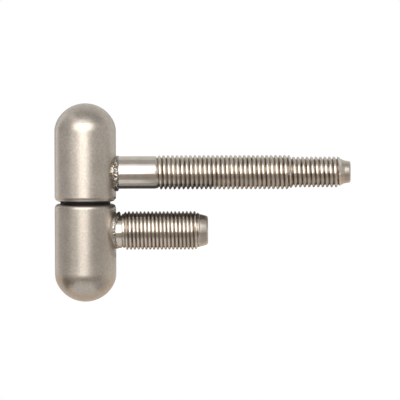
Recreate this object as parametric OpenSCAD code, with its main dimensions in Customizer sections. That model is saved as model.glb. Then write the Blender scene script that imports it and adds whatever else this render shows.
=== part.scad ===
// Lift-off hinge for a steel door frame. Two domed barrels turn on one pin, and each carries
// a welded stud: a short fine-threaded one for the frame and a long stepped one for the door.
// The origin lies on the frame stud's axis at its first thread crest. +X runs along the studs
// to their tips, +Z runs up along the hinge pin, and the front is -Y.

/* [Barrels] */
// Outside diameter of both barrels
barrel_d = 16; // [15:0.5:20]
// Length of one barrel with its dome
barrel_length = 25.5; // [25:0.5:36]
// Height of the domed end
dome_height = 7.3; // [6.5:0.1:7.5]
// Radius of the shoulder where the dome leaves the barrel's side
dome_shoulder = 6; // [3:0.1:6.3]
// Rounding of the rim at the open end
rim_round = 1.2; // [0.4:0.1:1.4]

/* [Hinge pin] */
// Diameter of the hinge pin
pin_d = 8; // [6:0.5:9]
// Depth of the pin in the frame barrel
pin_seat = 16; // [10:0.5:17]
// Length of the pin inside the door barrel
pin_reach = 16.5; // [10:0.5:17]
// Bevel on both ends of the pin
pin_bevel = 0.8; // [0.3:0.1:1.5]
// Free space between the pin's end and the end of its bore
pin_end_space = 1.5; // [0.5:0.1:2]
// Point angle of the drill that made the blind bores
drill_angle = 118; // [90:1:140]

/* [Bush and washer] */
// Wall of the plastic bush
bush_wall = 1; // [0.8:0.1:1.4]
// Length of the bush
bush_length = 16; // [8:0.5:17]
// Radial clearance of the bush on the pin
bush_clearance = 0.05; // [0.02:0.01:0.1]
// Outside diameter of the thrust washer
washer_d = 13; // [11:0.1:13.2]
// Thickness of the thrust washer
washer_thickness = 0.6; // [0.4:0.1:1.5]
// Radial clearance of the washer on the pin
washer_clearance = 0.1; // [0.05:0.01:0.3]

/* [Frame stud] */
// Height of the barrel's rim above the stud's axis
frame_stud_drop = 7; // [6.5:0.1:12]
// How far the stud stands out of the barrel
frame_stud_length = 23.9; // [12:0.1:50]
// Diameter of the plain neck
frame_neck_d = 8; // [7:0.1:8.7]
// Length of the neck from the barrel to the thread
frame_neck_length = 1.4; // [1.2:0.1:6]
// Diameter over the thread crests
frame_thread_d = 10; // [9.5:0.5:12]
// Pitch of the thread
frame_pitch = 1; // [0.5:0.05:1.5]
// Diameter of the tip where it leaves the thread
frame_tip_base_d = 8.1; // [7.5:0.1:8.7]
// Diameter of the tip before its bevel
frame_tip_d = 7.5; // [5:0.1:8]
// Length of the tip
frame_tip_length = 2; // [1:0.1:5]
// Bevel at the end of the tip
frame_tip_bevel = 0.5; // [0.2:0.1:0.9]

/* [Door stud] */
// Height of the stud's axis above the barrel's rim
door_stud_rise = 7.5; // [6:0.1:12]
// How far the stud stands out of the barrel
door_stud_length = 60.9; // [40:0.1:90]
// Diameter of the plain shank
door_shank_d = 8.5; // [7:0.1:9]
// Length of the shank from the barrel to the thread
door_shank_length = 10.05; // [3:0.05:20]
// Diameter over the crests of the main thread
door_thread_d = 8.9; // [8.6:0.1:11]
// Pitch of the whole door thread
door_pitch = 1.165; // [0.7:0.005:1.5]
// Diameter over the crests of the thinner thread
door_step_d = 8; // [7.5:0.1:8.5]
// Length of the thinner thread
door_step_length = 12.9; // [4:0.1:20]
// Diameter of the cone where it leaves the thread
door_cone_base_d = 6.8; // [6:0.1:7.2]
// Length of the cone
door_cone_length = 1.05; // [0.5:0.05:4]
// Diameter of the dog point
door_point_d = 5.7; // [4:0.1:6]
// Length of the dog point
door_point_length = 1.5; // [0.5:0.1:4]
// Bevel at the end of the dog point
door_point_bevel = 0.25; // [0.1:0.05:0.4]

/* [Welds] */
// How far the weld flash reaches along the stud from the barrel
weld_reach = 0.8; // [0.4:0.1:1.2]
// How far the weld flash stands proud of the stud
weld_height = 0.7; // [0.3:0.1:1]
// Depth of each stud's socket below the curve where stud and barrel meet
socket_depth = 0.25; // [0.1:0.05:0.6]

/* [Hidden] */
$fn = 96;

// Spare length by which a cutting tool passes the face that it opens
overcut = 1;

barrel_r = barrel_d / 2;

// The dome's crown is the arc over the barrel's axis that runs into the shoulder without a corner
shoulder_x = barrel_r - dome_shoulder;
crown_rise = dome_height - dome_shoulder;
crown_r = dome_shoulder + (shoulder_x * shoulder_x + crown_rise * crown_rise) / (2 * crown_rise);
// Distance from the barrel's axis at which crown and shoulder meet
crown_x = shoulder_x * crown_r / (crown_r - dome_shoulder);

bush_d = pin_d + 2 * bush_clearance + 2 * bush_wall;
bush_bore_depth = max(bush_length, pin_reach) + pin_end_space;

// Thread section in shares of the pitch: narrow crests, 60 degree flanks and narrow roots
crest_share = 1 / 8;
depth_share = 0.6134;
flank_share = depth_share * tan(30);
// Narrowest plain groove at the end of a thread
thread_relief = 0.1;

// The first crest of the frame stud lies one groove beyond the end of its neck
pin_x = -barrel_r - frame_neck_length - (1 - crest_share) * frame_pitch;
frame_rim_z = frame_stud_drop;
door_rim_z = frame_rim_z + washer_thickness;
door_stud_z = door_rim_z + door_stud_rise;

nickel = [0.67, 0.64, 0.6];
bright_nickel = [0.78, 0.75, 0.7];
weld_grey = [0.58, 0.55, 0.5];
pin_grey = [0.6, 0.61, 0.63];
washer_black = [0.07, 0.07, 0.07];
bush_white = [0.9, 0.89, 0.85];

// Distance from the barrel's axis at which a stud's side meets the barrel
function saddle_x(stud_r) = sqrt(barrel_r * barrel_r - stud_r * stud_r);

// Distance from the barrel's axis to the floor of a stud's socket
function socket_x(stud_r) = saddle_x(stud_r) - socket_depth;

// Radius at the bottom of a thread
function root_radius(thread_d, pitch) = thread_d / 2 - depth_share * pitch;

// Whole turns of a thread that fit in a length, with room for its last flank and a relief groove
function thread_turns(length, pitch) = floor((length - flank_share * pitch - thread_relief) / pitch);

// Outline of a thread as closed rings, as [radius, place along the axis].
// Each ring is a flank down, a root, a flank up and a crest.
function thread_rings(from, turns, thread_d, pitch) =
    let (
        crest_r = thread_d / 2,
        root_r = root_radius(thread_d, pitch),
        crest = crest_share * pitch,
        flank = flank_share * pitch
    )
    [for (turn = [1:turns])
        let (ring_end = from + turn * pitch)
        each [
            [root_r, ring_end - pitch + flank],
            [root_r, ring_end - crest - flank],
            [crest_r, ring_end - crest],
            [crest_r, ring_end]
        ]];

// Outline of the groove that ends a thread: the last flank and a plain stretch up to the next form
function thread_end(from, to, thread_d, pitch) =
    let (root_r = root_radius(thread_d, pitch))
    [[root_r, from + flank_share * pitch], [root_r, to]];

// A turned stud on the X axis, from its half outline of [radius, place along the axis]
module turned_stud(outline) {
    rotate([0, 90, 0])
        rotate_extrude()
            polygon(outline);
}

// Half section of a barrel, with its open rim on the axis origin and its dome upwards
module barrel_section() {
    straight = barrel_length - dome_height;
    square([barrel_r - rim_round, straight]);
    translate([0, rim_round])
        square([barrel_r, straight - rim_round]);
    intersection() {
        translate([barrel_r - rim_round, rim_round])
            circle(rim_round);
        translate([barrel_r - rim_round, 0])
            square(rim_round);
    }
    intersection() {
        translate([shoulder_x, straight])
            circle(dome_shoulder);
        translate([shoulder_x, straight])
            square(dome_shoulder);
    }
    intersection() {
        translate([0, barrel_length - crown_r])
            circle(crown_r);
        translate([0, straight])
            square([crown_x, dome_height]);
    }
}

// A barrel with a blind bore that opens at its rim
module bored_barrel(bore_d, bore_depth) {
    point_length = bore_d / 2 / tan(drill_angle / 2);
    difference() {
        rotate_extrude()
            barrel_section();
        translate([0, 0, -overcut])
            cylinder(d = bore_d, h = bore_depth + overcut);
        translate([0, 0, bore_depth])
            cylinder(d1 = bore_d, d2 = 0, h = point_length);
    }
}

// The hole in a barrel's side that takes a stud's root, measured from the barrel's axis
module stud_socket(stud_d) {
    from = socket_x(stud_d / 2);
    translate([from, 0, 0])
        rotate([0, 90, 0])
            cylinder(d = stud_d, h = barrel_r - from + overcut);
}

// Ring of weld flash round a stud's root, measured from the barrel's axis. Its section is an arc
// over the stud's side, from the depth of the socket's floor to the flash's full reach.
module weld_ring(stud_d) {
    from = socket_x(stud_d / 2);
    to = barrel_r + weld_reach;
    chord = to - from;
    arc_r = (chord * chord / 4 + weld_height * weld_height) / (2 * weld_height);
    difference() {
        translate([(from + to) / 2, 0, 0])
            rotate([0, 90, 0])
                rotate_extrude()
                    translate([stud_d / 2 + weld_height - arc_r, 0])
                        circle(arc_r);
        rotate([0, 90, 0])
            cylinder(d = stud_d, h = to + overcut);
        cylinder(d = barrel_d, h = 2 * barrel_length, center = true);
    }
}

// Lower barrel, dome downwards, with the pin's bore and the frame stud's socket
module frame_barrel() {
    color(nickel)
        translate([pin_x, 0, 0])
            difference() {
                translate([0, 0, frame_rim_z])
                    mirror([0, 0, 1])
                        bored_barrel(pin_d, pin_seat);
                stud_socket(frame_neck_d);
            }
}

// Short fine-threaded stud that screws into the steel frame: neck, thread and coned tip
module frame_stud() {
    root_start = socket_x(frame_neck_d / 2);
    thread_start = barrel_r + frame_neck_length;
    tip_end = barrel_r + frame_stud_length;
    tip_start = tip_end - frame_tip_length;
    turns = thread_turns(tip_start - thread_start, frame_pitch);
    thread_stop = thread_start + turns * frame_pitch;
    color(bright_nickel)
        translate([pin_x, 0, 0])
            turned_stud(concat(
                [
                    [0, root_start],
                    [frame_neck_d / 2, root_start],
                    [frame_neck_d / 2, thread_start]
                ],
                thread_rings(thread_start, turns, frame_thread_d, frame_pitch),
                thread_end(thread_stop, tip_start, frame_thread_d, frame_pitch),
                [
                    [frame_tip_base_d / 2, tip_start],
                    [frame_tip_d / 2, tip_end - frame_tip_bevel],
                    [frame_tip_d / 2 - frame_tip_bevel, tip_end],
                    [0, tip_end]
                ]));
}

// Weld flash of the frame stud
module frame_weld() {
    color(weld_grey)
        translate([pin_x, 0, 0])
            weld_ring(frame_neck_d);
}

// Steel pin, pressed into the lower barrel and bevelled at both ends
module hinge_pin() {
    bottom = -pin_seat;
    top = washer_thickness + pin_reach;
    color(pin_grey)
        translate([pin_x, 0, frame_rim_z])
            rotate_extrude()
                polygon([
                    [0, bottom],
                    [pin_d / 2 - pin_bevel, bottom],
                    [pin_d / 2, bottom + pin_bevel],
                    [pin_d / 2, top - pin_bevel],
                    [pin_d / 2 - pin_bevel, top],
                    [0, top]
                ]);
}

// Thin washer between the two rims
module thrust_washer() {
    color(washer_black)
        translate([pin_x, 0, frame_rim_z])
            difference() {
                cylinder(d = washer_d, h = washer_thickness);
                translate([0, 0, -overcut])
                    cylinder(d = pin_d + 2 * washer_clearance, h = washer_thickness + 2 * overcut);
            }
}

// Upper barrel, dome upwards, with the bush's bore and the door stud's socket
module door_barrel() {
    color(nickel)
        translate([pin_x, 0, 0])
            difference() {
                translate([0, 0, door_rim_z])
                    bored_barrel(bush_d, bush_bore_depth);
                translate([0, 0, door_stud_z])
                    stud_socket(door_shank_d);
            }
}

// Long stud that screws into the door: shank, main thread, thinner thread, cone and dog point.
// The two threads are one run of the same pitch, and the step falls on a whole turn.
module door_stud() {
    root_start = socket_x(door_shank_d / 2);
    thread_start = barrel_r + door_shank_length;
    point_end = barrel_r + door_stud_length;
    point_start = point_end - door_point_length;
    cone_start = point_start - door_cone_length;
    turns = thread_turns(cone_start - thread_start, door_pitch);
    step_turns = floor(door_step_length / door_pitch);
    step_start = thread_start + (turns - step_turns) * door_pitch;
    thread_stop = thread_start + turns * door_pitch;
    color(bright_nickel)
        translate([pin_x, 0, door_stud_z])
            turned_stud(concat(
                [
                    [0, root_start],
                    [door_shank_d / 2, root_start],
                    [door_shank_d / 2, thread_start]
                ],
                thread_rings(thread_start, turns - step_turns, door_thread_d, door_pitch),
                thread_rings(step_start, step_turns, door_step_d, door_pitch),
                thread_end(thread_stop, cone_start, door_step_d, door_pitch),
                [
                    [door_cone_base_d / 2, cone_start],
                    [door_point_d / 2, point_start],
                    [door_point_d / 2, point_end - door_point_bevel],
                    [door_point_d / 2 - door_point_bevel, point_end],
                    [0, point_end]
                ]));
}

// Weld flash of the door stud
module door_weld() {
    color(weld_grey)
        translate([pin_x, 0, door_stud_z])
            weld_ring(door_shank_d);
}

// Plastic bush in the upper barrel, which turns on the pin
module bearing_bush() {
    color(bush_white)
        translate([pin_x, 0, door_rim_z])
            difference() {
                cylinder(d = bush_d, h = bush_length);
                translate([0, 0, -overcut])
                    cylinder(d = pin_d + 2 * bush_clearance, h = bush_length + 2 * overcut);
            }
}

frame_barrel();
frame_stud();
frame_weld();
hinge_pin();
thrust_washer();
door_barrel();
door_stud();
door_weld();
bearing_bush();
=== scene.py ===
# %% [markdown]
# # A lift-off door hinge with screw-in studs
# Two nickel-plated barrels stand one on the other and turn on a hidden pin. A long stepped stud,
# welded to the upper barrel, screws into the door. A short machine thread on the lower one goes into
# the frame. The CAD frame is loaded first, and its own box is kept.

# %% Load the frame
import math

import bmesh
import bpy
from mathutils import Matrix, Vector, noise


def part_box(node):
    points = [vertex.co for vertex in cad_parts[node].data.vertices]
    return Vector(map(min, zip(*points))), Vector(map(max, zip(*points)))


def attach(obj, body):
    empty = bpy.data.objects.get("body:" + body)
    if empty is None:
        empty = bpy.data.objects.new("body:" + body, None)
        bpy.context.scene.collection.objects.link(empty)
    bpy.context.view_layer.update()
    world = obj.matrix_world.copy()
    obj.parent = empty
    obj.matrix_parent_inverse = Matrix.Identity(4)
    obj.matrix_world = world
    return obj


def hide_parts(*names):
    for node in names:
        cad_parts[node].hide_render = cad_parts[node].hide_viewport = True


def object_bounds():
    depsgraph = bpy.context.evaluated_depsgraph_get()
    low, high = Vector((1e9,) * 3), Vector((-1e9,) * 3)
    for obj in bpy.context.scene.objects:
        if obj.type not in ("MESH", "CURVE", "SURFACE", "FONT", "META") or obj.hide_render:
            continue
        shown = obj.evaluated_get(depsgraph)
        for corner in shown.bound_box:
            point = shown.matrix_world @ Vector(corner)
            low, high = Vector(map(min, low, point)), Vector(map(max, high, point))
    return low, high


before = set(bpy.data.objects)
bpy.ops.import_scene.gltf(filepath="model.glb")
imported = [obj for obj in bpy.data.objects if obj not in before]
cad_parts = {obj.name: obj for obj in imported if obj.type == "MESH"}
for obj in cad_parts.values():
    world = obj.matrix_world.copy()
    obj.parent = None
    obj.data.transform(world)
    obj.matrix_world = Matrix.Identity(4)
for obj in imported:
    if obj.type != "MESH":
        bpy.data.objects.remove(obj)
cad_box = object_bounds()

MM = 0.001
print("CAD box in mm:", [round(value / MM, 2) for corner in cad_box for value in corner])

# %% [markdown]
# ## Where the main axes lie
# The barrels share one upright axis and each stud has a level axis of its own. They could be typed in
# again as numbers, but they are read from the CAD nodes here, so a piece made in Blender always lands
# on the solid that it stands for.

# %% Read the axes from the CAD nodes
barrel_low, barrel_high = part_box("door_barrel")
PIN_X = (barrel_low.x + barrel_high.x) / 2
frame_stud_low, frame_stud_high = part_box("frame_stud")
door_stud_low, door_stud_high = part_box("door_stud")
FRAME_AXIS_Z = (frame_stud_low.z + frame_stud_high.z) / 2
DOOR_AXIS_Z = (door_stud_low.z + door_stud_high.z) / 2


def from_pin(distance_mm):
    """The x of a point that lies this many millimetres from the pin's axis."""
    return PIN_X + distance_mm * MM


print(f"pin axis x {PIN_X / MM:.3f}, stud axes z {FRAME_AXIS_Z / MM:.2f} and {DOOR_AXIS_Z / MM:.2f} mm")

# %% [markdown]
# ## From bmesh to a finished piece
# Every new piece ends in the same way. Doubles are merged, the normals are made to point outwards,
# edges that bend sharply are marked so that smooth shading leaves them crisp, and the mesh becomes an
# object at the origin that rides on a CAD body and stands for a CAD node.

# %% Finish a piece
SHARP_BEND = math.radians(38)
MERGE_DISTANCE = 0.0005 * MM


def finish_piece(bm, name, body, node):
    """Turns the bmesh into an object that rides on the body and replaces the node."""
    bmesh.ops.remove_doubles(bm, verts=bm.verts[:], dist=MERGE_DISTANCE)
    bmesh.ops.recalc_face_normals(bm, faces=bm.faces[:])
    for face in bm.faces:
        face.smooth = True
    for edge in bm.edges:
        edge.smooth = len(edge.link_faces) == 2 and edge.calc_face_angle() < SHARP_BEND
    mesh = bpy.data.meshes.new(name)
    bm.to_mesh(mesh)
    bm.free()
    piece = bpy.data.objects.new(name, mesh)
    bpy.context.scene.collection.objects.link(piece)
    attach(piece, body)
    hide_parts(node)
    return piece


def report_piece(piece):
    """Prints how heavy the mesh is, and whether it is closed."""
    triangles = sum(len(polygon.vertices) - 2 for polygon in piece.data.polygons)
    check = bmesh.new()
    check.from_mesh(piece.data)
    open_edges = sum(1 for edge in check.edges if len(edge.link_faces) != 2)
    check.free()
    print(f"{piece.name}: {triangles} triangles, {open_edges} open edges")


print(f"edges that bend by {math.degrees(SHARP_BEND):.0f} degrees or more stay crisp")

# %% [markdown]
# ## The screw thread
# A thread is one small section that travels along the stud while it turns round it. A stack of
# separate rings would look right only from one side, because its crests don't climb. The section is
# drawn first. It is one pitch long, from the middle of one groove to the middle of the next. A lean
# makes the flank towards the barrel steeper than the other one, as it is on the long stud.

# %% Draw the section of a thread
# These are shares of the pitch.
CREST_HALF = 0.185
FLANK_SHARE = 0.255
GROOVE_HALF = 0.06
CORNER_SHARE = 0.04


def tooth_side(flank):
    """Steps (share of the pitch, share of the depth) from the crest down to the middle of the groove."""
    slope = CORNER_SHARE / flank
    foot = CREST_HALF + flank
    return [
        (CREST_HALF - CORNER_SHARE, 1.0),
        (CREST_HALF + CORNER_SHARE, 1.0 - slope),
        (foot - CORNER_SHARE, slope),
        (foot + CORNER_SHARE, 0.0),
        (foot + GROOVE_HALF, 0.0),
    ]


def thread_section(bm, crest_x, pitch, root_r, crest_r, axis_z, lean):
    """One pitch of the thread, drawn above the axis with its crest at crest_x."""
    steep = [(-along, height) for along, height in tooth_side(FLANK_SHARE - lean)]
    outline = steep[::-1] + tooth_side(FLANK_SHARE + lean)
    depth = crest_r - root_r
    points = []
    for along, height in outline:
        points.append(bm.verts.new((crest_x + along * pitch, 0.0, axis_z + root_r + height * depth)))
    edges = [bm.edges.new(pair) for pair in zip(points, points[1:])]
    return points + edges


print("points in a thread section:", 2 * len(tooth_side(FLANK_SHARE)))

# %% [markdown]
# ## Screwing the section round the stud
# Blender's spin makes a helix when it is given a step along the axis as well as an angle. It could spin
# all the turns at once, but that takes minutes on a long stud. So one turn is spun, copied along the
# axis and merged. Spare turns at both ends are cut off later.

# %% Spin a thread
STEPS_PER_TURN = 96
SPARE_TURNS = 2


def spin_thread(bm, first_crest, pitch, turns, root_r, crest_r, axis_z, lean):
    """One turn is screwed round the stud's axis, right-handed, then copied along and joined up."""
    start = first_crest - SPARE_TURNS * pitch
    section = thread_section(bm, start, pitch, root_r, crest_r, axis_z, lean)
    bmesh.ops.spin(
        bm,
        geom=section,
        cent=(0.0, 0.0, axis_z),
        axis=(1.0, 0.0, 0.0),
        dvec=(pitch / STEPS_PER_TURN, 0.0, 0.0),
        angle=math.tau,
        steps=STEPS_PER_TURN,
        use_merge=False,
    )
    one_turn = bm.verts[:] + bm.edges[:] + bm.faces[:]
    for turn in range(1, turns):
        copied = bmesh.ops.duplicate(bm, geom=one_turn)["geom"]
        moved = [item for item in copied if isinstance(item, bmesh.types.BMVert)]
        bmesh.ops.translate(bm, verts=moved, vec=(turn * pitch, 0.0, 0.0))
    bmesh.ops.remove_doubles(bm, verts=bm.verts[:], dist=MERGE_DISTANCE)


print("steps in a turn:", STEPS_PER_TURN)

# %% [markdown]
# ## Fading and stepping the thread
# A real thread doesn't stop dead: it grows out of the plain shank over about a turn and dies away
# before the tip. On the door stud it also drops to a smaller size part of the way along. Separate
# threads could be joined end to end for this. It is simpler to keep one helix and to give a few
# stations along the stud, each with the radius of the groove and of the crest there.

# %% Shape a thread by stations
def between(stations, x):
    """The groove radius and crest radius at x, read between the stations."""
    if x <= stations[0][0]:
        return stations[0][1:]
    for (x0, low0, high0), (x1, low1, high1) in zip(stations, stations[1:]):
        if x <= x1:
            share = (x - x0) / (x1 - x0)
            return low0 + (low1 - low0) * share, high0 + (high1 - high0) * share
    return stations[-1][1:]


def set_radius(vert, radius, axis_z):
    """Moves a vertex straight out from the stud's axis, or in, to this radius."""
    out = Vector((0.0, vert.co.y, vert.co.z - axis_z)).normalized() * radius
    vert.co = Vector((vert.co.x, out.y, axis_z + out.z))


# A groove with this share of the full depth already counts as a deep one.
GROOVE_FULL = 0.5


def shape_thread(bm, stations, root_r, crest_r, axis_z):
    """Fits every turn between the stations, and notes how deep in a groove each vertex lies."""
    groove = bm.verts.layers.float.new("groove")
    bm.verts.layers.float.new("turned")
    for vert in bm.verts:
        radius = math.hypot(vert.co.y, vert.co.z - axis_z)
        height = min(1.0, max(0.0, (radius - root_r) / (crest_r - root_r)))
        low, high = between(stations, vert.co.x)
        set_radius(vert, low + (high - low) * height, axis_z)
        vert[groove] = (1.0 - height) * min(1.0, (high - low) / (crest_r - root_r) / GROOVE_FULL)


print("halfway between two stations:", between([(0.0, 1.0, 2.0), (1.0, 3.0, 4.0)], 0.5))

# %% [markdown]
# ## From the thread to the shank and the tip
# The ragged ends of the spin are cut off by a plane. Shank and tip could be separate turned shapes that
# are pushed into the thread, but the seams would show. So the round edge that is left is extruded on
# through a list of places and radii, and the stud is one closed skin. The cut leaves its vertices at
# uneven angles, so the first new edge is spaced out evenly.

# %% Trim a thread and carry it on
CORNER_LIMIT = 0.45


def trim(bm, x, keep_right):
    """Cuts the skin at x, drops one side and returns the edges of the cut."""
    normal = (-1.0, 0.0, 0.0) if keep_right else (1.0, 0.0, 0.0)
    cut = bmesh.ops.bisect_plane(
        bm,
        geom=bm.verts[:] + bm.edges[:] + bm.faces[:],
        dist=MERGE_DISTANCE,
        plane_co=(x, 0.0, 0.0),
        plane_no=normal,
        clear_outer=True,
    )
    return [item for item in cut["geom_cut"] if isinstance(item, bmesh.types.BMEdge)]


def soften(steps, size):
    """Rounds each inner corner of a list of (x, radius) steps with three points."""
    points = [Vector(step) for step in steps]
    rounded = points[:1]
    for before, corner, after in zip(points, points[1:], points[2:]):
        shorter = min((before - corner).length, (after - corner).length)
        reach = min(size, CORNER_LIMIT * shorter)
        enter = corner + (before - corner).normalized() * reach
        leave = corner + (after - corner).normalized() * reach
        rounded += [enter, (enter + corner * 2 + leave) / 4, leave]
    return rounded + points[-1:]


def space_evenly(verts, axis_z):
    """Turns the vertices of a round edge about the stud's axis until all are the same angle apart."""
    angles = {vert: math.atan2(vert.co.z - axis_z, vert.co.y) for vert in verts}
    ordered = sorted(verts, key=angles.get)
    for count, vert in enumerate(ordered):
        angle = angles[ordered[0]] + math.tau * count / len(ordered)
        vert.co.y = math.cos(angle)
        vert.co.z = axis_z + math.sin(angle)


def carry_on(bm, rim, steps, axis_z, turned):
    """Extrudes a round edge through a list of (x, radius) steps and closes the end."""
    finish = bm.verts.layers.float["turned"]
    for count, (x, radius) in enumerate(steps[1:]):
        grown = bmesh.ops.extrude_edge_only(bm, edges=rim)["geom"]
        rim = [item for item in grown if isinstance(item, bmesh.types.BMEdge)]
        verts = [item for item in grown if isinstance(item, bmesh.types.BMVert)]
        if count == 0:
            space_evenly(verts, axis_z)
        for vert in verts:
            vert.co.x = x
            vert[finish] = turned
            set_radius(vert, radius, axis_z)
    bmesh.ops.holes_fill(bm, edges=rim, sides=0)


print(f"a rounded corner takes at most {CORNER_LIMIT:.0%} of its shorter side")

# %% [markdown]
# ## The door stud
# The long stud has a plain shank next to the weld, a coarse thread, a second stretch of the same
# thread that is a millimetre thinner, and a short coned point. One spin makes the whole helix, so the
# thread runs through the step without a break, as it does on the real stud.

# %% Thread the door stud
DOOR_PITCH = 1.165 * MM
DOOR_TURNS = 44
DOOR_ROOT_R = 3.735 * MM
DOOR_CREST_R = 4.45 * MM
DOOR_STEP_DROP = 0.45 * MM
DOOR_SHANK_R = 4.25 * MM
DOOR_LEAN = 0.12
door_first_crest = from_pin(19.14)
door_thread_start = from_pin(18.45)
door_groove_full = door_thread_start + 0.15 * DOOR_PITCH
door_crest_full = door_thread_start + 0.65 * DOOR_PITCH
door_step_x = from_pin(53.35)
STEP_HALF = 0.3 * DOOR_PITCH
door_thread_end = from_pin(66.5)
door_crest_fades = door_thread_end - 0.7 * DOOR_PITCH
SHANK_EDGE = 0.12 * MM
SHANK_EDGE_R = DOOR_SHANK_R - SHANK_EDGE
SMALL_ROOT_R = DOOR_ROOT_R - DOOR_STEP_DROP
SMALL_CREST_R = DOOR_CREST_R - DOOR_STEP_DROP
DOOR_CONE_R = 3.4 * MM

door_stations = [
    (door_thread_start, SHANK_EDGE_R, SHANK_EDGE_R),
    (door_groove_full, DOOR_ROOT_R, SHANK_EDGE_R),
    (door_crest_full, DOOR_ROOT_R, DOOR_CREST_R),
    (door_step_x - STEP_HALF, DOOR_ROOT_R, DOOR_CREST_R),
    (door_step_x + STEP_HALF, SMALL_ROOT_R, SMALL_CREST_R),
    (door_crest_fades, SMALL_ROOT_R, SMALL_CREST_R),
    (door_thread_end, DOOR_CONE_R, DOOR_CONE_R),
]
bm = bmesh.new()
door_helix = (door_first_crest, DOOR_PITCH, DOOR_TURNS, DOOR_ROOT_R, DOOR_CREST_R)
spin_thread(bm, *door_helix, DOOR_AXIS_Z, DOOR_LEAN)
shape_thread(bm, door_stations, DOOR_ROOT_R, DOOR_CREST_R, DOOR_AXIS_Z)
print("door thread:", DOOR_TURNS, "turns before trimming")

# %% [markdown]
# ## The door stud's shank and point
# The shank is a little thinner than the thread's crests, as on a rolled thread, and its edge is broken.
# The point is a short cone that runs into a nearly straight dog point with a bevelled end.

# %% Add the shank and the point
SHANK_ROUND = 0.06 * MM
DOOR_POINT_R = 2.8 * MM
CONE_LIP = 0.05 * MM
CONE_LIP_R = DOOR_CONE_R - 0.03 * MM
door_point_x = from_pin(67.35)
POINT_FOOT_R = DOOR_POINT_R + 0.17 * MM
POINT_BEVEL = 0.25 * MM
POINT_ROUND = 0.15 * MM

shank_rim = trim(bm, door_thread_start, True)
shank_steps = [
    (door_thread_start, SHANK_EDGE_R),
    (door_thread_start - SHANK_EDGE, DOOR_SHANK_R),
    (door_stud_low.x, DOOR_SHANK_R),
]
carry_on(bm, shank_rim, soften(shank_steps, SHANK_ROUND), DOOR_AXIS_Z, turned=0.0)
point_rim = trim(bm, door_thread_end, False)
point_steps = [
    (door_thread_end, DOOR_CONE_R),
    (door_thread_end + CONE_LIP, CONE_LIP_R),
    (door_point_x, POINT_FOOT_R),
    (door_stud_high.x - POINT_BEVEL, DOOR_POINT_R),
    (door_stud_high.x, DOOR_POINT_R - POINT_BEVEL),
]
carry_on(bm, point_rim, soften(point_steps, POINT_ROUND), DOOR_AXIS_Z, turned=1.0)
door_stud = finish_piece(bm, "door_stud_threaded", "door_half", "door_stud")
report_piece(door_stud)

# %% [markdown]
# ## The frame stud
# The short stud carries a fine machine thread. It starts almost at the weld, out of a neck that is
# as thick as the bottom of the grooves, and ends in a tapered lead that helps it into its nut. Its
# flanks are even, so it is spun without a lean.

# %% Thread the frame stud
FRAME_PITCH = 1.0 * MM
FRAME_TURNS = 24
FRAME_ROOT_R = 4.387 * MM
FRAME_CREST_R = 5.0 * MM
FRAME_NECK_R = 4.25 * MM
FRAME_TIP_R = 4.2 * MM
LOW_CREST_R = FRAME_ROOT_R + 0.15 * MM
LEAD_ROOT_R = FRAME_TIP_R + 0.05 * MM
frame_first_crest = from_pin(10.35)
frame_thread_start = from_pin(9.5)
frame_groove_full = frame_thread_start + 0.5 * FRAME_PITCH
frame_crest_full = frame_thread_start + 1.1 * FRAME_PITCH
frame_thread_end = from_pin(29.9)
frame_crest_fades = frame_thread_end - 1.3 * FRAME_PITCH
frame_lead_x = frame_thread_end - 0.3 * FRAME_PITCH

frame_stations = [
    (frame_thread_start, FRAME_NECK_R, FRAME_NECK_R),
    (frame_groove_full, FRAME_ROOT_R, LOW_CREST_R),
    (frame_crest_full, FRAME_ROOT_R, FRAME_CREST_R),
    (frame_crest_fades, FRAME_ROOT_R, FRAME_CREST_R),
    (frame_lead_x, LEAD_ROOT_R, FRAME_ROOT_R),
    (frame_thread_end, FRAME_TIP_R, FRAME_TIP_R),
]
bm = bmesh.new()
frame_helix = (frame_first_crest, FRAME_PITCH, FRAME_TURNS, FRAME_ROOT_R, FRAME_CREST_R)
spin_thread(bm, *frame_helix, FRAME_AXIS_Z, lean=0.0)
shape_thread(bm, frame_stations, FRAME_ROOT_R, FRAME_CREST_R, FRAME_AXIS_Z)
print("frame thread:", FRAME_TURNS, "turns before trimming")

# %% [markdown]
# ## The frame stud's neck and tip
# The weld has let the neck sink a little, so its rings are set lower than the thread's axis. The tip is
# a blunt cone with a broad, soft edge, so its corners are rounded twice: widely first, then finely.

# %% Add the neck and the tip
NECK_DROP = 0.3 * MM
COLLAR = 0.1 * MM
FRAME_END_R = 3.75 * MM
TIP_BEVEL = 0.5 * MM
TIP_ROUND = 0.35 * MM
TIP_FINE_ROUND = 0.08 * MM

neck_rim = trim(bm, frame_thread_start, True)
neck_steps = [
    (frame_thread_start, FRAME_NECK_R),
    (frame_thread_start - COLLAR, FRAME_NECK_R),
    (frame_stud_low.x, FRAME_NECK_R),
]
carry_on(bm, neck_rim, neck_steps, FRAME_AXIS_Z - NECK_DROP, turned=0.0)
tip_rim = trim(bm, frame_thread_end, False)
tip_steps = [
    (frame_thread_end, FRAME_TIP_R),
    (frame_thread_end + COLLAR, FRAME_TIP_R),
    (frame_stud_high.x - TIP_BEVEL / 2, FRAME_END_R),
    (frame_stud_high.x, FRAME_END_R - TIP_BEVEL),
]
tip_steps = soften(soften(tip_steps, TIP_ROUND), TIP_FINE_ROUND)
carry_on(bm, tip_rim, tip_steps, FRAME_AXIS_Z, turned=1.0)
frame_stud = finish_piece(bm, "frame_stud_threaded", "frame_half", "frame_stud")
report_piece(frame_stud)

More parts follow.
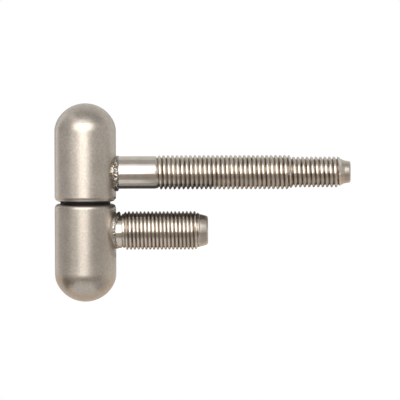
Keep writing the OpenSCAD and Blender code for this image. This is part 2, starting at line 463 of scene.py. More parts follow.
# %% [markdown]
# ## The weld beads
# Each stud is welded to its barrel, and the metal squeezed out of the joint has set as a ragged ring.
# A plain torus would look like a rubber seal. So a ring is spun from a circle, and its vertices are
# then pushed about by noise, coarse for the lumps and fine for the broken skin. The noise is a fixed
# function of the place, so every run gives the same bead. On the frame stud the metal has also run up
# the barrel in a smooth skirt, so there the ring's barrel side is drawn out and flared. The attribute
# "satin" marks that skirt for the finish.

# %% Spin a ring and break it up
BEAD_STEPS = 260
BEAD_SIDES = 36
LUMP_SIZE = 0.6 * MM
PIT_SIZE = 0.24 * MM
PIT_SHARE = 0.5
LUMP_STRETCH = 0.12
# The valley runs round the ring. Its place, its wander and its width are shares of the ring's half width.
VALLEY_PLACE = -0.1
VALLEY_WANDER = 0.5
VALLEY_WIDTH = 0.22
SATIN_EDGE = 0.3


def weld_bead(bm, axis_z, stud_r, shape):
    """A ring round the stud. The shape gives its place and size at the front, top and bottom."""
    tube = shape["height"]
    turn = Matrix.Rotation(math.radians(90), 4, "X")
    place = Matrix.Translation((from_pin(shape["front_x"]), 0.0, axis_z + stud_r))
    bmesh.ops.create_circle(bm, segments=BEAD_SIDES, radius=tube, matrix=place @ turn)
    bmesh.ops.spin(
        bm,
        geom=bm.verts[:] + bm.edges[:],
        cent=(0.0, 0.0, axis_z),
        axis=(1.0, 0.0, 0.0),
        angle=math.tau,
        steps=BEAD_STEPS,
        use_merge=True,
    )
    satin = bm.verts.layers.float.new("satin")
    for vert in bm.verts:
        up = vert.co.z - axis_z
        radius = math.hypot(vert.co.y, up)
        rise = up / radius
        top_share = rise * rise
        along = (vert.co.x - from_pin(shape["front_x"])) / tube
        out = (radius - stud_r) / tube
        end_x = shape["top_x"] if rise > 0 else shape["bottom_x"]
        centre = shape["front_x"] + (end_x - shape["front_x"]) * top_share
        skirt = max(0.0, -along)
        front_half = shape["front_skirt"] if skirt else shape["front_half"]
        end_half = shape["top_half"] if rise > 0 else shape["bottom_half"]
        half = front_half + (end_half - front_half) * top_share
        flare = shape["flare"] * skirt * skirt * (1.0 - top_share)
        if shape["flare"]:
            out *= 1.0 - skirt
            vert[satin] = min(1.0, skirt / SATIN_EDGE)
        sag = (1.0 - shape["sag"] * rise) * (1.0 - shape["front_dip"] * (1.0 - top_share))
        seed = vert.co + Vector((shape["seed"], 0.0, 0.0))
        coarse = noise.noise(seed / LUMP_SIZE)
        lumps = (coarse + PIT_SHARE * noise.noise(seed / PIT_SIZE)) * (1.0 - vert[satin])
        from_valley = (along - VALLEY_PLACE + VALLEY_WANDER * coarse) / VALLEY_WIDTH
        swell = 1.0 + shape["rough"] * lumps - shape["valley"] * math.exp(-(from_valley ** 2))
        vert.co.x = from_pin(centre) + along * half * MM * (1.0 + LUMP_STRETCH * lumps)
        set_radius(vert, stud_r + out * tube * sag * swell + flare, axis_z)


print("vertices in a ring:", BEAD_STEPS * BEAD_SIDES)

# %% [markdown]
# ## The two beads
# Each bead has its own measures: where its middle lies and how wide it is at the front, at the top and
# at the bottom, how high it stands, and how ragged it is. Two separate functions could hold them, but
# the rings differ only in these numbers. Places are in millimetres from the pin's axis, and widths are
# in millimetres too.

# %% Model the weld beads
door_bead_shape = {
    "front_x": 7.7,
    "top_x": 8.1,
    "bottom_x": 8.1,
    "front_half": 1.02,
    "front_skirt": 1.02,
    "front_dip": 0.0,
    "flare": 0.0,
    "top_half": 0.62,
    "bottom_half": 0.62,
    "height": 0.42 * MM,
    "sag": 0.65,
    "rough": 0.45,
    "valley": 0.45,
    "seed": 0.013,
}
frame_bead_shape = {
    "front_x": 7.5,
    "top_x": 8.45,
    "bottom_x": 8.0,
    "front_half": 0.4,
    "front_skirt": 1.5,
    "front_dip": 0.6,
    "flare": 1.0 * MM,
    "top_half": 0.72,
    "bottom_half": 0.75,
    "height": 0.55 * MM,
    "sag": -0.15,
    "rough": 0.5,
    "valley": 0.5,
    "seed": 0.047,
}
bm = bmesh.new()
weld_bead(bm, DOOR_AXIS_Z, DOOR_SHANK_R, door_bead_shape)
door_bead = finish_piece(bm, "door_weld_bead", "door_half", "door_weld")
report_piece(door_bead)
bm = bmesh.new()
weld_bead(bm, FRAME_AXIS_Z, FRAME_NECK_R, frame_bead_shape)
frame_bead = finish_piece(bm, "frame_weld_bead", "frame_half", "frame_weld")
report_piece(frame_bead)

# %% [markdown]
# ## Shared finishes as node groups
# Nickel plate is never one even tone. There is a soft cloudiness some millimetres across, and a grain
# of about half a millimetre, which is what makes the barrels satin. Barrels, studs and welds all use
# both, in different strengths, so they are built once as a node group with named inputs and outputs.

# %% Build the plate group
def add_node(tree, kind, **settings):
    """Adds a node and sets its plain properties."""
    node = tree.nodes.new(kind)
    for name, value in settings.items():
        setattr(node, name, value)
    return node


plate = bpy.data.node_groups.new("plate_variation", "ShaderNodeTree")
plate.interface.new_socket("Vector", in_out="INPUT", socket_type="NodeSocketVector")
plate.interface.new_socket("Cloud Scale", in_out="INPUT", socket_type="NodeSocketFloat")
plate.interface.new_socket("Grain Scale", in_out="INPUT", socket_type="NodeSocketFloat")
plate.interface.new_socket("Cloud", in_out="OUTPUT", socket_type="NodeSocketFloat")
plate.interface.new_socket("Grain", in_out="OUTPUT", socket_type="NodeSocketFloat")
group_in = add_node(plate, "NodeGroupInput")
group_out = add_node(plate, "NodeGroupOutput")
cloud = add_node(plate, "ShaderNodeTexNoise")
cloud.inputs["Detail"].default_value = 3.0
cloud.inputs["Roughness"].default_value = 0.55
grain = add_node(plate, "ShaderNodeTexNoise")
grain.inputs["Detail"].default_value = 2.0
grain.inputs["Roughness"].default_value = 0.7
plate.links.new(group_in.outputs["Vector"], cloud.inputs["Vector"])
plate.links.new(group_in.outputs["Cloud Scale"], cloud.inputs["Scale"])
plate.links.new(group_in.outputs["Vector"], grain.inputs["Vector"])
plate.links.new(group_in.outputs["Grain Scale"], grain.inputs["Scale"])
plate.links.new(cloud.outputs["Fac"], group_out.inputs["Cloud"])
plate.links.new(grain.outputs["Fac"], group_out.inputs["Grain"])
print("node group:", plate.name)

# %% [markdown]
# ## Helpers for the materials
# Each material is a Principled shader. Numbers that are the same all over are set on its own sockets,
# and only what changes over the surface is linked. Short helpers keep the cells readable: a new
# material with its object coordinates, a mask from the mesh, a blend of two colours by a mask, a range
# for a value, and a sum or a product of two values.

# %% Define the material helpers
FULL = (0.0, 1.0)
FALLING = (1.0, 0.0)
# Noise lies around a half. These are the parts of its range that are used.
NOISE_CORE = (0.35, 0.65)
NOISE_BODY = (0.3, 0.7)


def new_material(name, metallic):
    """A node material with its Principled shader and object coordinates."""
    material = bpy.data.materials.new(name)
    material.use_nodes = True
    tree = material.node_tree
    shader = tree.nodes["Principled BSDF"]
    shader.inputs["Metallic"].default_value = metallic
    coords = add_node(tree, "ShaderNodeTexCoord").outputs["Object"]
    print("material:", name)
    return material, tree, shader, coords


def plate_maps(tree, coords, cloud_scale, grain_scale):
    """Places the plate group and returns its cloud and grain outputs."""
    node = add_node(tree, "ShaderNodeGroup", node_tree=plate)
    node.inputs["Cloud Scale"].default_value = cloud_scale
    node.inputs["Grain Scale"].default_value = grain_scale
    tree.links.new(coords, node.inputs["Vector"])
    return node.outputs["Cloud"], node.outputs["Grain"]


def mesh_mask(tree, name):
    """A mask that was stored on the mesh."""
    return add_node(tree, "ShaderNodeAttribute", attribute_name=name).outputs["Fac"]


def blend_colours(tree, mask, first, second):
    """Mixes two colours by a mask. Either colour is a tuple or another node's output."""
    node = add_node(tree, "ShaderNodeMix", data_type="RGBA")
    tree.links.new(mask, node.inputs["Factor"])
    for socket, colour in ((node.inputs[6], first), (node.inputs[7], second)):
        if isinstance(colour, tuple):
            socket.default_value = (*colour, 1.0)
        else:
            tree.links.new(colour, socket)
    return node.outputs[2]


def fit_range(tree, value, span, result):
    """Stretches a value from its span (low, high) to the result's and holds it there."""
    node = add_node(tree, "ShaderNodeMapRange")
    node.inputs["From Min"].default_value, node.inputs["From Max"].default_value = span
    node.inputs["To Min"].default_value, node.inputs["To Max"].default_value = result
    tree.links.new(value, node.inputs["Value"])
    return node.outputs["Result"]


def combine(tree, operation, first, second):
    """Joins two values by a Math node. The second is a number or another node's output."""
    node = add_node(tree, "ShaderNodeMath", operation=operation)
    tree.links.new(first, node.inputs[0])
    if isinstance(second, float):
        node.inputs[1].default_value = second
    else:
        tree.links.new(second, node.inputs[1])
    return node.outputs[0]


def add_bump(tree, shader, height, strength, depth_mm):
    """Feeds a height through a Bump node into the shader's normal."""
    node = add_node(tree, "ShaderNodeBump")
    node.inputs["Strength"].default_value = strength
    node.inputs["Distance"].default_value = depth_mm * MM
    tree.links.new(height, node.inputs["Height"])
    tree.links.new(node.outputs["Normal"], shader.inputs["Normal"])


# %% [markdown]
# ## Satin nickel on the barrels
# The barrels were turned, fine-blasted and plated: a warm grey metal with a broad soft highlight. A
# medium roughness gives the satin, and the cloud moves the tone and the gloss a little. The grain goes
# into the tone as a faint speckle, and into a very shallow bump that breaks up the highlight.

# %% Make the barrel finish
SATIN_SHADE = (0.61, 0.545, 0.472)
SATIN_LIGHT = (0.665, 0.60, 0.523)
SATIN_SPECK = (0.40, 0.35, 0.30)
barrel_finish, tree, shader, coords = new_material("barrel_satin_nickel", metallic=1.0)
cloud_map, grain_map = plate_maps(tree, coords, cloud_scale=260.0, grain_scale=1900.0)
tone = blend_colours(tree, fit_range(tree, cloud_map, NOISE_CORE, FULL), SATIN_SHADE, SATIN_LIGHT)
speckle = fit_range(tree, grain_map, NOISE_CORE, (0.0, 0.5))
tone = blend_colours(tree, speckle, tone, SATIN_SPECK)
tree.links.new(fit_range(tree, cloud_map, NOISE_BODY, (0.29, 0.36)), shader.inputs["Roughness"])
add_bump(tree, shader, grain_map, strength=0.6, depth_mm=0.014)

# %% [markdown]
# ## Painted shade and a painted highlight by the joint
# The lower barrel's rim next to the washer is darkened as painted shade, where the upper barrel hides the
# light, and most of the lower barrel's side is a little darker in tone. The upper barrel's lower edge is
# lightened as a painted highlight. Masks for these could be painted on, but the height above or below the
# washer's underside, measured along Z, gives the same rings without painting.

# %% Add the rings to the barrel finish
# A darker tone over most of the lower barrel, fading out towards its foot
LOWER_SIDE_TONE = (0.30, 0.26, 0.22)
# Painted shade on the lower barrel's rim, where the upper barrel hides the light
RIM_PAINTED_SHADE = (0.10, 0.075, 0.055)
# Painted highlight: a bright line on the upper barrel's lower edge
EDGE_PAINTED_HIGHLIGHT = (0.94, 0.93, 0.92)
# Heights from the washer's underside
JOINT_SPAN = (0.0, 0.5 * MM)
LOWER_SIDE_SPAN = (-19.0 * MM, -14.0 * MM)
RIM_SHADE_SPAN = (-0.7 * MM, -0.35 * MM)
EDGE_HIGHLIGHT_SPAN = (0.9 * MM, 1.2 * MM)
washer_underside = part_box("thrust_washer")[0].z
place = add_node(tree, "ShaderNodeSeparateXYZ")
tree.links.new(coords, place.inputs[0])
height = combine(tree, "SUBTRACT", place.outputs["Z"], washer_underside)
lower_barrel = fit_range(tree, height, JOINT_SPAN, FALLING)
upper_barrel = fit_range(tree, height, JOINT_SPAN, FULL)
# The lower barrel is a little darker, except near its foot
lower_side_dim = combine(tree, "MULTIPLY", fit_range(tree, height, LOWER_SIDE_SPAN, (0.0, 0.16)), lower_barrel)
tone = blend_colours(tree, lower_side_dim, tone, LOWER_SIDE_TONE)
# Painted shade on the lower rim next to the washer
rim_painted_shade = combine(tree, "MULTIPLY", fit_range(tree, height, RIM_SHADE_SPAN, (0.0, 0.85)), lower_barrel)
tone = blend_colours(tree, rim_painted_shade, tone, RIM_PAINTED_SHADE)
# Painted highlight on the upper barrel's lower edge
edge_painted_highlight = combine(tree, "MULTIPLY", fit_range(tree, height, EDGE_HIGHLIGHT_SPAN, (0.9, 0.0)), upper_barrel)
tone = blend_colours(tree, edge_painted_highlight, tone, EDGE_PAINTED_HIGHLIGHT)
tree.links.new(tone, shader.inputs["Base Color"])
print(f"rings are measured from z {washer_underside / MM:.2f} mm")

# %% [markdown]
# ## Bright nickel on the studs
# Rolling a thread leaves it smoother than the barrels, so the studs shine more. Oil and grime settle in
# the grooves, which also lie in shade. Their depth was stored on the mesh as the attribute "groove" while
# the thread was being shaped, and that mask darkens and dulls the bottom of each turn: the darkening is
# partly grime and partly painted shade. The tips were turned on a lathe and are a little darker and
# duller. The attribute "turned" marks them.

# %% Make the stud finish
BRIGHT_SHADE = (0.70, 0.635, 0.56)
BRIGHT_LIGHT = (0.77, 0.705, 0.63)
GROOVE_DIRT_AND_SHADE = (0.15, 0.115, 0.09)
TURNED_GREY = (0.56, 0.495, 0.42)
stud_finish, tree, shader, coords = new_material("stud_bright_nickel", metallic=1.0)
cloud_map, grain_map = plate_maps(tree, coords, cloud_scale=420.0, grain_scale=4200.0)
groove_depth = mesh_mask(tree, "groove")
turned_end = mesh_mask(tree, "turned")
tone = blend_colours(tree, fit_range(tree, cloud_map, NOISE_CORE, FULL), BRIGHT_SHADE, BRIGHT_LIGHT)
# Oil grime and painted shade in the deep part of each groove
dirt_and_shade_depth = fit_range(tree, groove_depth, (0.6, 1.0), FULL)
dirt_and_shade_patches = fit_range(tree, cloud_map, (0.38, 0.62), (0.98, 0.5))
groove_dirt_and_shade = combine(tree, "MULTIPLY", dirt_and_shade_depth, dirt_and_shade_patches)
tone = blend_colours(tree, groove_dirt_and_shade, tone, GROOVE_DIRT_AND_SHADE)
tone = blend_colours(tree, fit_range(tree, turned_end, FULL, (0.0, 0.6)), tone, TURNED_GREY)
tree.links.new(tone, shader.inputs["Base Color"])
groove_dull = fit_range(tree, groove_depth, (0.3, 1.0), (0.18, 0.34))
turned_dull = fit_range(tree, turned_end, FULL, (0.0, 0.13))
tree.links.new(combine(tree, "ADD", groove_dull, turned_dull), shader.inputs["Roughness"])
add_bump(tree, shader, grain_map, strength=0.15, depth_mm=0.008)

# %% [markdown]
# ## The weld's plated flash
# The bead was plated with the rest, but its broken skin traps dark spots between bright lumps. The
# grain is the mask for the spots and the height of the bump, and the cloud moves the gloss. On the
# smooth skirt both give way to a satin like the barrel's.

# %% Make the weld finish
WELD_PIT = (0.16, 0.125, 0.095)
WELD_LUMP = (0.76, 0.71, 0.63)
WELD_SATIN = (0.60, 0.535, 0.465)
weld_finish, tree, shader, coords = new_material("weld_plated_flash", metallic=1.0)
cloud_map, grain_map = plate_maps(tree, coords, cloud_scale=900.0, grain_scale=3200.0)
satin_skirt = mesh_mask(tree, "satin")
tone = blend_colours(tree, fit_range(tree, grain_map, (0.42, 0.62), FULL), WELD_PIT, WELD_LUMP)
tone = blend_colours(tree, satin_skirt, tone, WELD_SATIN)
tree.links.new(tone, shader.inputs["Base Color"])
bead_dull = fit_range(tree, cloud_map, NOISE_BODY, (0.12, 0.34))
skirt_dull = fit_range(tree, satin_skirt, FULL, (0.0, 0.36))
tree.links.new(combine(tree, "MAXIMUM", bead_dull, skirt_dull), shader.inputs["Roughness"])
broken_share = fit_range(tree, satin_skirt, FULL, (1.0, 0.05))
broken_skin = combine(tree, "MULTIPLY", grain_map, broken_share)
add_bump(tree, shader, broken_skin, strength=0.6, depth_mm=0.05)

# %% [markdown]
# ## The pin, the washer and the bush
# Apart from the washer's edge, these show only when the door half is lifted off. The pin is ground
# steel, with fine rings round it: a Mapping node shrinks X and Y, so that its noise changes only along
# the axis. The washer is near-black acetal, and its near-black tone is partly painted shade for the gap
# between the barrels. The bush is the same plastic in its natural ivory: both are dull, with a faint
# cloud and moulding grain.

# %% Make the bearing finishes
STEEL_SHADE = (0.46, 0.47, 0.49)
STEEL_LIGHT = (0.58, 0.59, 0.60)
RING_SCALE = (0.02, 0.02, 1.0)
pin_finish, tree, shader, coords = new_material("pin_ground_steel", metallic=1.0)
rings = add_node(tree, "ShaderNodeMapping")
rings.inputs["Scale"].default_value = RING_SCALE
tree.links.new(coords, rings.inputs["Vector"])
ring_map = plate_maps(tree, rings.outputs["Vector"], cloud_scale=900.0, grain_scale=6500.0)[1]
tree.links.new(blend_colours(tree, ring_map, STEEL_SHADE, STEEL_LIGHT), shader.inputs["Base Color"])
tree.links.new(fit_range(tree, ring_map, NOISE_BODY, (0.2, 0.36)), shader.inputs["Roughness"])
add_bump(tree, shader, ring_map, strength=0.3, depth_mm=0.006)


def acetal(name, dark, light, roughness, sheen):
    """A moulded plastic in two close tones."""
    material, tree, shader, coords = new_material(name, metallic=0.0)
    shader.inputs["Specular IOR Level"].default_value = sheen
    cloud_map, grain_map = plate_maps(tree, coords, cloud_scale=600.0, grain_scale=4500.0)
    tree.links.new(blend_colours(tree, cloud_map, dark, light), shader.inputs["Base Color"])
    tree.links.new(fit_range(tree, cloud_map, NOISE_BODY, roughness), shader.inputs["Roughness"])
    add_bump(tree, shader, grain_map, strength=0.3, depth_mm=0.01)
    return material


# Near-black, partly painted shade for the gap between the barrels
washer_acetal_and_gap_shade_finish = acetal(
    "washer_acetal_and_gap_shade",
    dark=(0.006, 0.006, 0.006),
    light=(0.014, 0.013, 0.012),
    roughness=(0.5, 0.65),
    sheen=0.2,
)
bush_finish = acetal(
    "bush_natural_acetal",
    dark=(0.74, 0.72, 0.66),
    light=(0.82, 0.80, 0.75),
    roughness=(0.35, 0.5),
    sheen=0.5,
)

# %% [markdown]
# ## Put the finishes on
# The barrels, the pin, the washer and the bush keep their CAD shapes, which are already right, and
# only get their material. The new pieces get theirs in the same loop.

# %% Assign the materials
finishes = {
    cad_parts["frame_barrel"]: barrel_finish,
    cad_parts["door_barrel"]: barrel_finish,
    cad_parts["hinge_pin"]: pin_finish,
    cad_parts["thrust_washer"]: washer_acetal_and_gap_shade_finish,
    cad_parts["bearing_bush"]: bush_finish,
    door_stud: stud_finish,
    frame_stud: stud_finish,
    door_bead: weld_finish,
    frame_bead: weld_finish,
}
for piece, material in finishes.items():
    piece.data.materials.clear()
    piece.data.materials.append(material)
    print(piece.name, "has", material.name)

# %% [markdown]
# ## The camera
# The photograph is a catalogue picture taken from straight in front through a long lens, so the
# barrels' sides look parallel. The distance is chosen first, and the focal length then follows from
# how many millimetres of the object fill the picture.

# %% Place the camera
PICTURE_WIDTH = 104.0 * MM
CAMERA_DISTANCE = 1200.0 * MM
camera_target = Vector((from_pin(29.8), 0.0, 7.88 * MM))
camera_elevation = math.radians(2.4)
camera_roll = math.radians(0.15)

camera_data = bpy.data.cameras.new("photo_camera")
camera_data.sensor_width = 36.0
camera_data.lens = camera_data.sensor_width * CAMERA_DISTANCE / PICTURE_WIDTH
camera = bpy.data.objects.new("photo_camera", camera_data)
bpy.context.scene.collection.objects.link(camera)
back = Vector((0.0, -math.cos(camera_elevation), math.sin(camera_elevation)))
camera.location = camera_target + back * CAMERA_DISTANCE
facing = (-back).to_track_quat("-Z", "Y").to_matrix().to_4x4()
camera.rotation_euler = (facing @ Matrix.Rotation(-camera_roll, 4, "Z")).to_euler()
bpy.context.scene.camera = camera
print(f"lens {camera_data.lens:.0f} mm at {CAMERA_DISTANCE:.2f} m")

# %% [markdown]
# ## The white world
# The picture has a pure white ground. A bright world would give it, but would also light the object too
# much. So the world is white to the camera and in reflections, and a plainer grey where it lights.

# %% Make the world
WORLD_LIGHT = 0.6


def seen_rays(tree):
    """1 for rays from the camera, from glossy surfaces and through clear ones."""
    paths = add_node(tree, "ShaderNodeLightPath").outputs
    seen = combine(tree, "MAXIMUM", paths["Is Camera Ray"], paths["Is Glossy Ray"])
    return combine(tree, "MAXIMUM", seen, paths["Is Transmission Ray"])


world = bpy.data.worlds.new("white_studio")
bpy.context.scene.world = world
world.use_nodes = True
tree = world.node_tree
background = tree.nodes["Background"]
background.inputs["Color"].default_value = (1.0, 1.0, 1.0, 1.0)
world_level = fit_range(tree, seen_rays(tree), FULL, (WORLD_LIGHT, 1.0))
tree.links.new(world_level, background.inputs["Strength"])
print("the world lights the object at", WORLD_LIGHT)

# %% [markdown]
# ## The floor
# A sheet of paper lies below the hinge. A photographer would curve it up into a backdrop, but the white
# world already fills the back. So it is a plain grid, large enough that its edge is never seen.

# %% Lay the floor
FLOOR_GAP = 34.0 * MM
FLOOR_Z = cad_box[0].z - FLOOR_GAP
FLOOR_SIZE = 5.0

bm = bmesh.new()
bmesh.ops.create_grid(bm, x_segments=8, y_segments=8, size=FLOOR_SIZE)
bmesh.ops.translate(bm, verts=bm.verts[:], vec=(0.0, 0.0, FLOOR_Z))
mesh = bpy.data.meshes.new("studio_floor")
bm.to_mesh(mesh)
bm.free()
floor = bpy.data.objects.new("studio_floor", mesh)
bpy.context.scene.collection.objects.link(floor)
print("floor at z", round(FLOOR_Z / MM, 1), "mm")

# %% [markdown]
# ## The floor's paper
# The paper is matt, with a soft glow of its own added. The glow is weakest by the hinge, where the lamps
# reach, and grows with the distance, so the two make white together everywhere and the hinge's shadow
# is kept. From below the floor is clear, so that the underside can be looked at too.

# %% Paint the floor
PAPER_GREY = (0.6, 0.6, 0.6, 1.0)
GLOW_DISTANCE = (0.05, 0.9)
GLOW_RANGE = (0.448, 0.665)
floor_paint = bpy.data.materials.new("floor_white")
floor_paint.use_nodes = True
tree = floor_paint.node_tree
tree.nodes.remove(tree.nodes["Principled BSDF"])
distance = add_node(tree, "ShaderNodeVectorMath", operation="LENGTH")
tree.links.new(add_node(tree, "ShaderNodeTexCoord").outputs["Object"], distance.inputs[0])
glow_level = fit_range(tree, distance.outputs["Value"], GLOW_DISTANCE, GLOW_RANGE)
glow = add_node(tree, "ShaderNodeEmission")
tree.links.new(combine(tree, "MULTIPLY", seen_rays(tree), glow_level), glow.inputs["Strength"])
matt = add_node(tree, "ShaderNodeBsdfDiffuse")
matt.inputs["Color"].default_value = PAPER_GREY
both = add_node(tree, "ShaderNodeAddShader")
tree.links.new(glow.outputs[0], both.inputs[0])
tree.links.new(matt.outputs[0], both.inputs[1])
clear = add_node(tree, "ShaderNodeBsdfTransparent")
one_sided = add_node(tree, "ShaderNodeMixShader")
tree.links.new(add_node(tree, "ShaderNodeNewGeometry").outputs["Backfacing"], one_sided.inputs["Fac"])
tree.links.new(both.outputs[0], one_sided.inputs[1])
tree.links.new(clear.outputs[0], one_sided.inputs[2])
tree.links.new(one_sided.outputs[0], tree.nodes["Material Output"].inputs["Surface"])
floor.data.materials.append(floor_paint)
print("the floor has", floor_paint.name)

# %% [markdown]
# ## Lamps
# Two softboxes light the scene: a large one in front, a little to the left and above, and one overhead
# that gives the shadow. They light the plastic, the floor and everything that isn't polished. What the
# metal shows of them is set apart from that in the next step.

# %% Hang the lamps
PANEL_DISTANCE = 0.6
studio_centre = Vector((from_pin(12.0), 0.0, 7.3 * MM))


def facing_centre(azimuth, elevation, distance):
    """A place in that direction, turned to the hinge. Azimuth 0 is the camera's side."""
    a = math.radians(azimuth)
    e = math.radians(elevation)
    towards = Vector((math.sin(a) * math.cos(e), -math.cos(a) * math.cos(e), math.sin(e)))
    turn = towards.to_track_quat("Z", "Y").to_matrix().to_4x4()
    return Matrix.Translation(studio_centre + towards * distance) @ turn


def softbox(name, azimuth, elevation, width, height, power):
    """A rectangular lamp that faces the hinge."""
    lamp = bpy.data.lights.new(name, "AREA")
    lamp.shape = "RECTANGLE"
    lamp.size = width
    lamp.size_y = height
    lamp.energy = power
    holder = bpy.data.objects.new(name, lamp)
    holder.matrix_world = facing_centre(azimuth, elevation, PANEL_DISTANCE)
    holder.visible_camera = False
    holder.visible_glossy = False
    bpy.context.scene.collection.objects.link(holder)


softbox("front_softbox", azimuth=-6.0, elevation=21.0, width=0.43, height=0.78, power=1.5)
softbox("top_softbox", azimuth=0.0, elevation=88.0, width=0.45, height=0.45, power=1.2)
print("lamps:", [lamp.name for lamp in bpy.data.lights])

# %% [markdown]
# ## Cards for the metal
# Polished metal has hardly any colour of its own: it shows the room. A photographer therefore stands
# white, grey and dark cards where the metal should look white, grey or dark. More lamps could do it too,
# but they would also light the floor. These cards are seen only in reflections.

# %% Make a card
def card(name, place, width, height, foot, top, tint):
    """A panel that only reflections see, with a brightness from foot to top. The white ground has 1."""
    bm = bmesh.new()
    bmesh.ops.create_grid(bm, x_segments=2, y_segments=2, size=0.5)
    bmesh.ops.scale(bm, verts=bm.verts[:], vec=(width, height, 1.0))
    bmesh.ops.transform(bm, verts=bm.verts[:], matrix=place)
    low = min(vert.co.z for vert in bm.verts)
    high = max(vert.co.z for vert in bm.verts)
    mesh = bpy.data.meshes.new(name)
    bm.to_mesh(mesh)
    bm.free()
    panel = bpy.data.objects.new(name, mesh)
    bpy.context.scene.collection.objects.link(panel)
    panel.visible_camera = False
    panel.visible_diffuse = False
    panel.visible_shadow = False
    panel.visible_transmission = False
    paint = bpy.data.materials.new(name)
    paint.use_nodes = True
    tree = paint.node_tree
    tree.nodes.remove(tree.nodes["Principled BSDF"])
    glow = add_node(tree, "ShaderNodeEmission")
    glow.inputs["Color"].default_value = (*tint, 1.0)
    glow.inputs["Strength"].default_value = foot
    if foot != top:
        coords = add_node(tree, "ShaderNodeTexCoord").outputs["Object"]
        split = add_node(tree, "ShaderNodeSeparateXYZ")
        tree.links.new(coords, split.inputs[0])
        fade = fit_range(tree, split.outputs["Z"], (low, high), (foot, top))
        tree.links.new(fade, glow.inputs["Strength"])
    tree.links.new(glow.outputs[0], tree.nodes["Material Output"].inputs["Surface"])
    panel.data.materials.append(paint)


print("a card as bright as the white ground has a strength of 1")

# %% [markdown]
# ## The tall cards
# Like the lamps, these stand in a ring round the hinge and face it. They are placed by the direction in
# which they lie. Some fade from foot to top, so that a barrel's side isn't one flat grey. The two glows
# are the bright strip along the front of the barrels.

# %% Stand the tall cards
WHITE = (1.0, 1.0, 1.0)


def tall_card(name, direction, width, height, foot, top):
    """A card at the lamps' distance. The direction is its azimuth and its elevation in degrees."""
    card(name, facing_centre(*direction, PANEL_DISTANCE), width, height, foot, top, WHITE)


tall_card("front_glow", (-8.0, 18.0), width=0.37, height=0.67, foot=2.45, top=2.9)
tall_card("upper_glow", (-8.0, 29.0), width=0.78, height=0.38, foot=2.5, top=2.5)
tall_card("left_card", (-88.0, 5.0), width=0.78, height=1.2, foot=0.3, top=0.58)
tall_card("right_card", (60.0, 0.0), width=1.15, height=1.0, foot=0.47, top=0.58)
tall_card("right_back_card", (126.0, 5.0), width=0.5, height=1.2, foot=0.64, top=0.75)
tall_card("right_upper_card", (72.0, 50.0), width=0.5, height=0.3, foot=0.37, top=0.37)
tall_card("back_card", (180.0, 6.0), width=1.0, height=0.5, foot=0.48, top=0.6)
tall_card("ceiling_card", (0.0, 84.0), width=0.7, height=0.5, foot=0.41, top=0.41)
tall_card("back_ceiling_card", (180.0, 60.0), width=0.9, height=0.5, foot=0.65, top=0.65)
print("tall cards stand", PANEL_DISTANCE, "m away")

# %% [markdown]
# ## The low cards
# These lie just above the floor, where the undersides of the barrels and studs look. One large card
# would make every underside the same. They are laid edge to edge instead, each as bright as the metal
# above it should look, and most are a little warm, as a wooden table would be.

# %% Lay the low cards
WARM = (1.0, 0.91, 0.82)
AMBER = (1.0, 0.84, 0.70)
CARD_LIFT = 2.0 * MM
# Edges that the cards share, in millimetres
FAR = 350.0
BARREL_LEFT = -46.0
BARREL_RIGHT = 14.0
STUD_RIGHT = 90.0
GLOW_EDGE = -490.0
FRONT_EDGE = -56.0
BACK_EDGE = 22.0


def flat_card(name, x_range, y_range, z, brightness, tint):
    """A level card between these millimetres."""
    x_low, x_high = (value * MM for value in x_range)
    y_low, y_high = (value * MM for value in y_range)
    middle = Vector(((x_low + x_high) / 2, (y_low + y_high) / 2, z))
    card(name, Matrix.Translation(middle), x_high - x_low, y_high - y_low, brightness, brightness, tint)


def low_card(name, x_range, y_range, brightness, tint):
    """A card that lies just above the floor."""
    flat_card(name, x_range, y_range, FLOOR_Z + CARD_LIFT, brightness, tint)


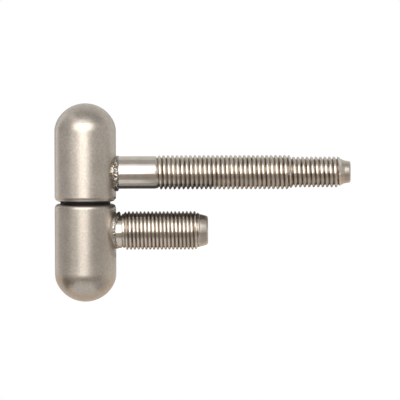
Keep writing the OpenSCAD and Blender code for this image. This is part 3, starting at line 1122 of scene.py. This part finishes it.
low_card("low_glow_card", (-190.0, 100.0), (-620.0, GLOW_EDGE), brightness=2.2, tint=WHITE)
low_card("low_front_card", (-FAR, FAR), (GLOW_EDGE, FRONT_EDGE), brightness=0.325, tint=WARM)
low_card("low_left_card", (-FAR, BARREL_LEFT), (FRONT_EDGE, 20.0), brightness=0.22, tint=AMBER)
low_card("low_barrel_card", (BARREL_LEFT, BARREL_RIGHT), (FRONT_EDGE, 2.0), brightness=0.7, tint=WHITE)
low_card("low_heel_card", (BARREL_LEFT, BARREL_RIGHT), (2.0, BACK_EDGE), brightness=0.68, tint=AMBER)
low_card("low_stud_card", (BARREL_RIGHT, STUD_RIGHT), (FRONT_EDGE, 5.0), brightness=0.41, tint=WHITE)
low_card("low_side_card", (BARREL_RIGHT, STUD_RIGHT), (5.0, BACK_EDGE), brightness=0.6, tint=AMBER)
low_card("low_right_card", (STUD_RIGHT, FAR), (FRONT_EDGE, BACK_EDGE), brightness=0.6, tint=AMBER)
low_card("low_back_card", (-FAR, FAR), (BACK_EDGE, FAR), brightness=0.7, tint=WARM)
print("low cards lie at z", round((FLOOR_Z + CARD_LIFT) / MM, 1), "mm")

# %% [markdown]
# ## The small cards next to the studs
# A stud's own reflections need cards close to it, because a far one would change the barrels too. Dark
# flags are painted shade: they lie where one stud hides the light from the other. A grey one fills in a
# strip, and two shades, also painted shade, keep the undersides from glowing.

# %% Place the small cards
UNDER_DOOR_STUD = 8.2 * MM
OVER_FRAME_STUD = 8.0 * MM
OVER_NECK = 5.25 * MM
UNDER_FRAME_STUD = -7.0 * MM

# Painted shade in the studs' reflections: dark flags where one stud shades the other, and grey shades
# under them
flat_card("door_flag_card", (-2.0, 22.5), (-1.6, 8.0), UNDER_DOOR_STUD, brightness=0.07, tint=WHITE)
flat_card("door_fill_card", (-2.0, 22.0), (-3.2, -1.6), UNDER_DOOR_STUD, brightness=0.4, tint=WHITE)
flat_card("frame_flag_card", (-2.0, 22.5), (-3.5, 8.0), OVER_FRAME_STUD, brightness=0.08, tint=WARM)
flat_card("neck_flag_card", (-2.2, 1.0), (-2.2, 8.0), OVER_NECK, brightness=0.06, tint=WARM)
flat_card("door_shade_card", (22.5, 58.0), (0.0, 14.0), UNDER_DOOR_STUD, brightness=0.26, tint=WARM)
flat_card("frame_shade_card", (-2.2, 20.0), (0.0, 12.0), UNDER_FRAME_STUD, brightness=0.28, tint=WARM)

# %% [markdown]
# ## Set the view transform
# The view transform is Standard, in which a colour comes out as it was set.

# %% Set the view transform
bpy.context.scene.view_settings.view_transform = "Standard"
